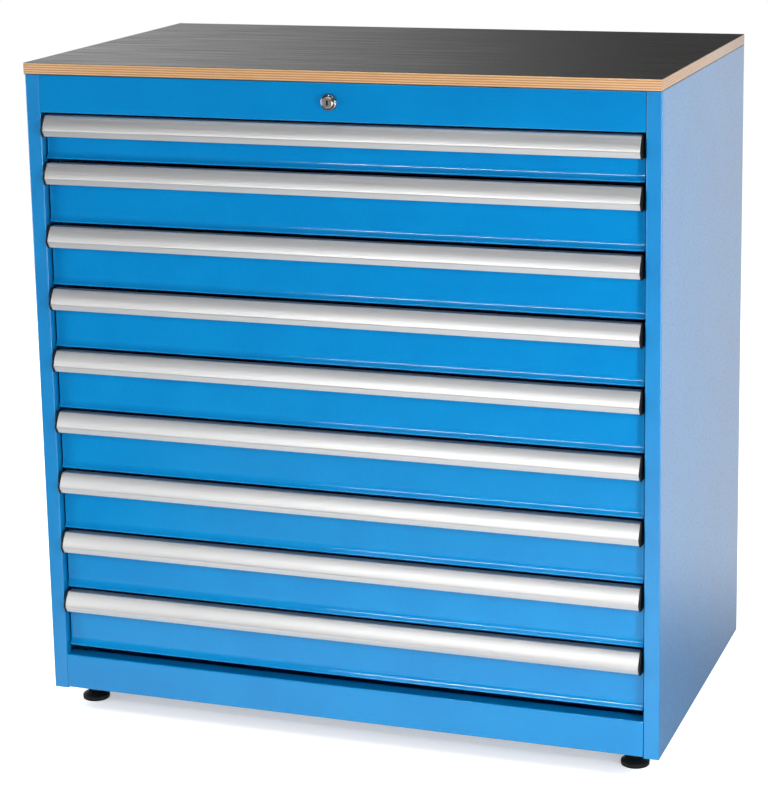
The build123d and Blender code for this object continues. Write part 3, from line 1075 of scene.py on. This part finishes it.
@dataclass
class LockSet:
    """Cylinder lock in the top rail: turned bezel and barrel, nut behind the sheet, the turning core, and a
    black plate on the core painted as the keyhole's shade.
    """

    finishes: Finishes
    bezel_radius: float = 13.0 * MM
    bezel_proud: float = 5.0 * MM
    bezel_crown: float = 0.28
    bezel_edge: float = 0.93
    bezel_angles: tuple[float, ...] = (math.pi / 2, 1.25, 0.95, 0.65, 0.35, 0.12)
    barrel_radius: float = 11.0 * MM
    barrel_length: float = 24.0 * MM
    bore_radius: float = 8.8 * MM
    rail_sheet: float = 1.2 * MM
    core_radius: float = 8.5 * MM
    core_proud: float = 9.0 * MM
    core_chamfer: float = 0.8 * MM
    rim_width: float = 1.1 * MM
    face_depth: float = 0.7 * MM
    # Size, corner round and rise of the black plate that paints the keyhole's shade on the core.
    key_half: Span = (1.5 * MM, 4.0 * MM)
    key_round: float = 0.8 * MM
    key_rise: float = 0.05 * MM
    nut_flat: float = 13.0 * MM
    nut_thickness: float = 5.0 * MM
    nut_gap: float = 0.2 * MM
    segments: int = 48

    def build(self) -> None:
        """Build the housing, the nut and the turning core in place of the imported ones."""
        low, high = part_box("lock_housing")
        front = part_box("top_pan")[0].y
        centre = Vector(((low.x + high.x) / 2, front, (low.z + high.z) / 2))
        housing = self.build_housing(centre)
        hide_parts("lock_housing")
        self.build_nut(centre)
        core = self.build_core(centre)
        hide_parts("lock_plug")
        self.build_keyhole_shade(centre)

    def build_core(self, centre: Vector) -> Piece:
        """Turn the core, whose face lies a little below its rim.

        Args:
            centre: Middle of the lock on the face of the rail.

        Returns:
            The core.
        """
        radius, proud, chamfer = self.core_radius, self.core_proud, self.core_chamfer
        rim = radius - chamfer - self.rim_width
        floor = self.face_depth - proud
        profile = [(self.barrel_length, 0.0), (self.barrel_length, radius), (chamfer - proud, radius)]
        profile += [(-proud, radius - chamfer), (-proud, rim)]
        profile += [(floor, rim - self.face_depth / 2), (floor, 0.0)]
        shape = bmesh.new()
        add_turned(shape, profile, centre, Run.DEEP, self.segments)
        return make_piece("lock_core", shape, "lock_cylinder", Slot.CHROME, self.finishes.plug)

    def build_keyhole_shade(self, centre: Vector) -> None:
        """Set a black plate in the face of the core as painted shade of a keyhole, which the core itself does
        not have.

        Args:
            centre: Middle of the lock on the face of the rail.
        """
        half_x, half_z = self.key_half
        corners = [(-half_x, -half_z), (half_x, -half_z), (half_x, half_z), (-half_x, half_z)]
        places = [(centre.x + x, centre.z + z, self.key_round) for x, z in corners]
        face = centre.y - self.core_proud + self.face_depth
        # The black plate paints the shade of a keyhole; the core has no slot.
        shape = bmesh.new()
        add_prism(shape, rounded_outline(places), (face - self.key_rise, face + self.face_depth), Run.DEEP)
        make_piece("lock_keyhole_shade", shape, "lock_cylinder", Slot.CHROME, self.finishes.caps)

    def build_housing(self, centre: Vector) -> Piece:
        """Turn the domed bezel with its barrel.

        Args:
            centre: Middle of the lock on the face of the rail.

        Returns:
            The housing.
        """
        bore, proud, length = self.bore_radius, self.bezel_proud, self.barrel_length
        profile = [(length, bore), (-proud * self.bezel_edge, bore)]
        for angle in self.bezel_angles:
            share = self.bezel_crown + (1 - self.bezel_crown) * math.cos(angle)
            profile.append((-proud * math.sin(angle), bore + (self.bezel_radius - bore) * share))
        profile += [(0.0, self.bezel_radius), (0.0, self.barrel_radius), (length, self.barrel_radius)]
        shape = bmesh.new()
        add_turned(shape, profile, centre, Run.DEEP, self.segments)
        return make_piece("lock_bezel", shape, "cabinet", Slot.CHROME, self.finishes.bezel)

    def build_nut(self, centre: Vector) -> None:
        """Build the six-sided nut behind the sheet of the rail.

        Args:
            centre: Middle of the lock on the face of the rail.
        """
        shape = bmesh.new()
        hole = self.barrel_radius + self.nut_gap
        loops = []
        for along in (self.rail_sheet, self.rail_sheet + self.nut_thickness):
            outer, inner = [], []
            for step in range(self.segments):
                angle = 2 * math.pi * step / self.segments
                flat = self.nut_flat / math.cos(angle % HEXAGON_STEP - HEXAGON_STEP / 2)
                outer.append(shape.verts.new(centre + Run.DEEP.polar(along, flat, angle)))
                inner.append(shape.verts.new(centre + Run.DEEP.polar(along, hole, angle)))
            loops += [outer, inner]
        for first, second in ((0, 1), (1, 3), (3, 2), (2, 0)):
            join_rings(shape, loops[first], loops[second])
        make_piece("lock_nut", shape, "cabinet", Slot.ZINC, self.finishes.zinc)


@dataclass
class LevellingFoot:
    """Foot with a round pad, a hexagon to turn it by and a threaded stem."""

    finishes: Finishes
    name: str
    pad_radius: float = 22.0 * MM
    pad_height: float = 7.0 * MM
    pad_round: float = 1.2 * MM
    pad_angles: tuple[float, ...] = (0.4, 0.8, 1.2)
    pad_segments: int = 56
    crown_height: float = 6.0 * MM
    crown_radius: float = 13.0 * MM
    crown_start: Span = (1.92 * MM, 2.28 * MM)
    crown_lift: float = 0.3 * MM
    crown_edge: Span = (0.4 * MM, 0.6 * MM)
    hexagon_flat: float = 9.5 * MM
    hexagon_top: float = 33.2 * MM
    hexagon_soft: float = 0.8 * MM
    hexagon_soft_steps: int = 2
    stem_radius: float = 5.95 * MM
    stem_length: float = 48.0 * MM
    thread_pitch: float = 1.75 * MM
    thread_depth: float = 0.95 * MM
    thread_rows: int = 6
    thread_segments: int = 28

    def build(self) -> None:
        """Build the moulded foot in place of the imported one, and its stem."""
        low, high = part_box(self.name)
        centre = Vector(((low.x + high.x) / 2, (low.y + high.y) / 2, low.z))
        self.build_pad(centre)
        self.build_hexagon(centre)
        self.build_stem(centre)

    def build_pad(self, centre: Vector) -> None:
        """Turn the pad with its sloping crown.

        Args:
            centre: Middle of the foot on the floor.
        """
        radius, height, soft = self.pad_radius, self.pad_height, self.pad_round
        arc = [(soft * math.sin(a), soft * math.cos(a)) for a in self.pad_angles]
        profile = [(0.0, 0.0), (0.0, radius - soft)]
        profile += [(soft - level, radius - soft + out) for out, level in arc]
        profile += [(soft, radius), (height - soft, radius)]
        profile += [(height - soft + rise, radius - soft + out) for rise, out in arc]
        profile += [(height, radius - self.crown_start[0])]
        profile += [(height + self.crown_lift, radius - self.crown_start[1])]
        crown, (drop, inset) = height + self.crown_height, self.crown_edge
        profile += [(crown - drop, self.crown_radius), (crown, self.crown_radius - inset), (crown, 0.0)]
        shape = bmesh.new()
        add_turned(shape, profile, centre, Run.UP, self.pad_segments)
        pad = make_piece(f"{self.name}_pad", shape, self.name, Slot.FOOT, self.finishes.feet)
        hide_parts(self.name)

    def build_hexagon(self, centre: Vector) -> None:
        """Build the hexagon on top of the pad.

        Args:
            centre: Middle of the foot on the floor.
        """
        corner = self.hexagon_flat / math.cos(HEXAGON_STEP / 2)
        angles = [HEXAGON_STEP * step + HEXAGON_STEP / 2 for step in range(6)]
        outline = [(centre + Run.UP.polar(0.0, corner, angle)).xy for angle in angles]
        shape = bmesh.new()
        add_prism(shape, outline, (self.pad_height + self.crown_height, self.hexagon_top), Run.UP)
        piece = make_piece(f"{self.name}_hexagon", shape, self.name, Slot.FOOT, self.finishes.feet)
        soften(piece, self.hexagon_soft, self.hexagon_soft_steps)

    def build_stem(self, centre: Vector) -> None:
        """Cut the thread of the stem as one helix.

        Args:
            centre: Middle of the foot on the floor.
        """
        rows = int(self.stem_length / self.thread_pitch * self.thread_rows)
        shape = bmesh.new()
        rings = []
        for row in range(rows + 1):
            height = self.hexagon_top + self.stem_length * row / rows
            ring = []
            for step in range(self.thread_segments):
                share = step / self.thread_segments
                phase = (row / self.thread_rows - share) % 1.0
                radius = self.stem_radius - self.thread_depth * (1 - abs(2 * phase - 1))
                ring.append(shape.verts.new(centre + Run.UP.polar(height, radius, 2 * math.pi * share)))
            rings.append(ring)
        shape.faces.new(rings[0][::-1])
        shape.faces.new(rings[-1])
        for below, above in zip(rings, rings[1:]):
            join_rings(shape, below, above)
        make_piece(f"{self.name}_stem", shape, self.name, Slot.ZINC, self.finishes.zinc)


@dataclass(frozen=True)
class Softbox:
    """Rectangular studio lamp that faces a target, and that shows in reflections where it is mirrored."""

    name: str
    place: Place
    target: Place
    width: float
    height: float
    radiance: float
    mirrored: bool = True
    tint: Colour = (1.0, 1.0, 1.0)

    def build(self) -> None:
        """Hang the lamp, hidden from the camera."""
        data = bpy.data.lights.new(self.name, "AREA")
        data.shape = "RECTANGLE"
        data.size = self.width
        data.size_y = self.height
        data.energy = math.pi * self.width * self.height * self.radiance
        data.color = self.tint
        lamp = bpy.data.objects.new(self.name, data)
        bpy.context.scene.collection.objects.link(lamp)
        aim = Vector(self.target) - Vector(self.place)
        lamp.matrix_world = Matrix.Translation(self.place) @ aim.to_track_quat("-Z", "Y").to_matrix().to_4x4()
        lamp.visible_camera = False
        lamp.visible_glossy = self.mirrored
        log.info("%s hangs at %s", self.name, self.place)


@dataclass
class Studio:
    """White floor with a painted contact shadow, soft lamps and the light of the room.

    A fade holds the two places between which a level changes, and the levels of the same name are its values
    there. A fade without levels of its own goes from 0 to 1.
    """

    floor_size: float = 16.0
    floor_front: float = -5.0
    floor_albedo: float = 0.80
    # The next three fields paint a contact shadow on the floor: the camera glow at and inside a box of the
    # given half sizes, and how far out it rises back to white.
    painted_shadow_glow: float = 0.41
    painted_shadow_box: Span = (0.430, 0.265)
    shadow_reach: Span = (0.075, 0.055)
    front_lean: float = 0.45
    front_fade: Span = (0.40, 1.70)
    front_levels: Span = (1.0, 0.02)
    ahead_fade: Span = (0.12, 0.40)
    side_fade: Span = (0.1, 0.85)
    side_levels: Span = (0.36, 0.94)
    left_fade: Span = (-0.50, -0.21)
    left_levels: Span = (1.0, 0.08)
    right_fade: Span = (-0.08, 0.16)
    right_levels: Span = (0.0, 0.90)
    room_fade: Span = (-0.3, 0.3)
    room_front: float = 0.03
    ambient: float = 0.06
    lamps: tuple[Softbox, ...] = (
        Softbox("right_strip", (1.72, -1.30, 0.72), (0.30, -0.285, 0.60), 0.25, 1.40, 24.0),
        Softbox("front_low_softbox", (0.90, -3.50, 0.50), (0.0, -0.285, 0.40), 1.20, 0.80, 3.8),
        Softbox("front_key", (-0.42, -2.60, 1.75), (0.20, -0.285, 0.50), 1.10, 0.07, 57.0),
        Softbox("left_softbox", (-2.60, -1.50, 0.75), (-0.10, -0.285, 0.45), 0.80, 1.40, 9.8),
        Softbox("overhead_panel", (0.20, -0.10, 3.20), (0.20, -0.10, 0.0), 3.00, 2.20, 1.1),
        Softbox(
            "floor_reflector",
            (0.20, -1.20, 0.08),
            (0.20, -0.285, -0.22),
            width=1.80,
            height=0.15,
            radiance=8.0,
            mirrored=False,
            tint=(1.0, 1.0, 0.8),
        ),
        Softbox("back_right_softbox", (1.50, 2.60, 1.20), (0.20, 0.0, 0.50), 1.60, 1.40, 2.2, False),
        Softbox("back_left_softbox", (-1.60, 2.60, 1.50), (-0.20, 0.0, 0.50), 1.60, 1.40, 3.0, False),
    )

    def build(self) -> None:
        """Set up the floor, the lamps and the world."""
        self.build_floor()
        self.build_world()
        for lamp in self.lamps:
            lamp.build()
        bpy.context.scene.view_settings.view_transform = "Standard"

    def build_floor(self) -> None:
        """Lay the floor, white to the camera, with the cabinet's rendered shadow on it and a painted contact
        shadow around it.
        """
        half = self.floor_size / 2
        shape = bmesh.new()
        spots = ((-half, self.floor_front), (half, self.floor_front), (half, half), (-half, half))
        shape.faces.new([shape.verts.new((*spot, 0.0)) for spot in spots])
        mesh = bpy.data.meshes.new("studio_floor")
        shape.to_mesh(mesh)
        shape.free()
        mesh.materials.append(self.floor_finish())
        floor = bpy.data.objects.new("studio_floor", mesh)
        bpy.context.scene.collection.objects.link(floor)

    def floor_finish(self) -> Material:
        """Build the floor's material: matt, with one glow for the camera and another one for reflections.

        Returns:
            The material.
        """
        material = bpy.data.materials.new("studio_floor")
        material.use_nodes = True
        graph = Graph(material.node_tree)
        graph.nodes.clear()
        x, y, _ = graph.axes("Object")
        white = graph.ray("Is Camera Ray", "Is Transmission Ray")
        glossy = graph.ray("Is Glossy Ray")
        seen = graph.math("MULTIPLY", white, self.camera_glow_with_painted_shadow(graph, x, y))
        mirrored = graph.math("MULTIPLY", glossy, self.mirrored_glow(graph, x, y))
        emission = graph.nodes.new("ShaderNodeEmission")
        graph.links.new(graph.math("ADD", seen, mirrored), emission.inputs["Strength"])
        diffuse = graph.nodes.new("ShaderNodeBsdfDiffuse")
        diffuse.inputs["Color"].default_value = (self.floor_albedo,) * 3 + (1.0,)
        matt = graph.nodes.new("ShaderNodeMixShader")
        graph.links.new(glossy, matt.inputs["Fac"])
        graph.links.new(diffuse.outputs["BSDF"], matt.inputs[1])
        both = graph.nodes.new("ShaderNodeAddShader")
        graph.links.new(matt.outputs["Shader"], both.inputs[0])
        graph.links.new(emission.outputs["Emission"], both.inputs[1])
        output = graph.nodes.new("ShaderNodeOutputMaterial")
        graph.links.new(both.outputs["Shader"], output.inputs["Surface"])
        return material

    def camera_glow_with_painted_shadow(self, graph: Graph, x: Socket, y: Socket) -> Socket:
        """Glow of the floor for the camera, lowered in a soft-edged box around the cabinet: a painted contact
        shadow, under which the rendered shadow also shows.

        Args:
            graph: Node tree of the floor.
            x: Output with X on the floor.
            y: Output with Y on the floor.

        Returns:
            Output with the glow.
        """
        squares = []
        for axis, half, reach in zip((x, y), self.painted_shadow_box, self.shadow_reach):
            beyond = graph.math("MAXIMUM", graph.math("SUBTRACT", graph.math("ABSOLUTE", axis), half), 0.0)
            squares.append(graph.math("POWER", graph.math("DIVIDE", beyond, reach), 2.0))
        distance = graph.math("SQRT", graph.math("ADD", *squares))
        return graph.fade(distance, (0.0, 1.0), (self.painted_shadow_glow, 1.0))

    def mirrored_glow(self, graph: Graph, x: Socket, y: Socket) -> Socket:
        """Glow of the floor for reflections, which fades to the front and is weaker beside the cabinet.

        Args:
            graph: Node tree of the floor.
            x: Output with X on the floor.
            y: Output with Y on the floor.

        Returns:
            Output with the glow.
        """
        ahead = graph.math("MULTIPLY", y, -1.0)
        leaning = graph.math("SUBTRACT", ahead, graph.math("MULTIPLY", x, self.front_lean))
        front = graph.fade(leaning, self.front_fade, self.front_levels)
        side = graph.fade(y, self.side_fade, self.side_levels)
        near = graph.math("MAXIMUM", side, graph.fade(ahead, self.ahead_fade, (0.0, 1.0)))
        return graph.math("MULTIPLY", front, near)

    def build_world(self) -> None:
        """Surround the cabinet with a white backdrop, and with a room that reflections see."""
        world = bpy.data.worlds.new("studio_room")
        bpy.context.scene.world = world
        world.use_nodes = True
        graph = Graph(world.node_tree)
        background = graph.nodes["Background"]
        background.inputs["Color"].default_value = (1.0, 1.0, 1.0, 1.0)
        x, y, _ = graph.axes("Generated")
        behind = graph.fade(y, self.room_fade, (0.0, 1.0))
        left = graph.fade(x, self.left_fade, self.left_levels)
        right = graph.fade(x, self.right_fade, self.right_levels)
        back = graph.math("MULTIPLY", behind, graph.math("ADD", left, right))
        front = graph.math("MULTIPLY", graph.math("SUBTRACT", 1.0, behind), self.room_front)
        glossy = graph.ray("Is Glossy Ray")
        mirrored = graph.math("MULTIPLY", glossy, graph.math("ADD", back, front))
        lit = graph.math("MULTIPLY", graph.math("SUBTRACT", 1.0, glossy), self.ambient)
        white = graph.ray("Is Camera Ray", "Is Transmission Ray")
        level = graph.math("MAXIMUM", graph.math("ADD", lit, mirrored), white)
        graph.links.new(level, background.inputs["Strength"])


@dataclass
class PortraitCamera:
    """Camera at the viewing angle of the photograph, for an image of 768 by 800 pixels."""

    yaw: float = 19.901
    pitch: float = 12.126
    roll: float = -1.093
    place: Place = (1.2600, -3.5408, 1.4865)
    focal_pixels: float = 2378.7
    image_height: float = 800.0
    principal_row: float = 280.0
    sensor: float = 36.0

    def build(self) -> None:
        """Set up the camera."""
        yaw, pitch, roll = (math.radians(angle) for angle in (self.yaw, self.pitch, self.roll))
        ahead = Vector((-math.sin(yaw) * math.cos(pitch), math.cos(yaw) * math.cos(pitch), -math.sin(pitch)))
        level = Vector((math.cos(yaw), math.sin(yaw), 0.0))
        upright = level.cross(ahead)
        right = level * math.cos(roll) + upright * math.sin(roll)
        up = upright * math.cos(roll) - level * math.sin(roll)
        data = bpy.data.cameras.new("portrait_camera")
        data.sensor_width = self.sensor
        data.lens = self.sensor * self.focal_pixels / self.image_height
        data.shift_y = (self.principal_row - self.image_height / 2) / self.image_height
        camera = bpy.data.objects.new("portrait_camera", data)
        bpy.context.scene.collection.objects.link(camera)
        turn = Matrix((right, up, -ahead)).transposed().to_4x4()
        camera.matrix_world = Matrix.Translation(self.place) @ turn
        bpy.context.scene.camera = camera


def main() -> None:
    """Build the sub-assemblies in order, then the studio and the camera."""
    logging.basicConfig(level=logging.INFO, format="%(message)s")
    finishes = Finishes()
    Body(finishes).build()
    Worktop(finishes).build()
    rail = HandleRail()
    drawers = [name for name in frame["bodies"] if name.startswith("drawer_")]
    for number in range(1, len(drawers) + 1):
        Drawer(finishes, number, rail).build()
    LockSet(finishes).build()
    for name in sorted(frame["bodies"]):
        if name.endswith("_foot"):
            LevellingFoot(finishes, name).build()
    Studio().build()
    PortraitCamera().build()


if __name__ == "__main__":
    main()
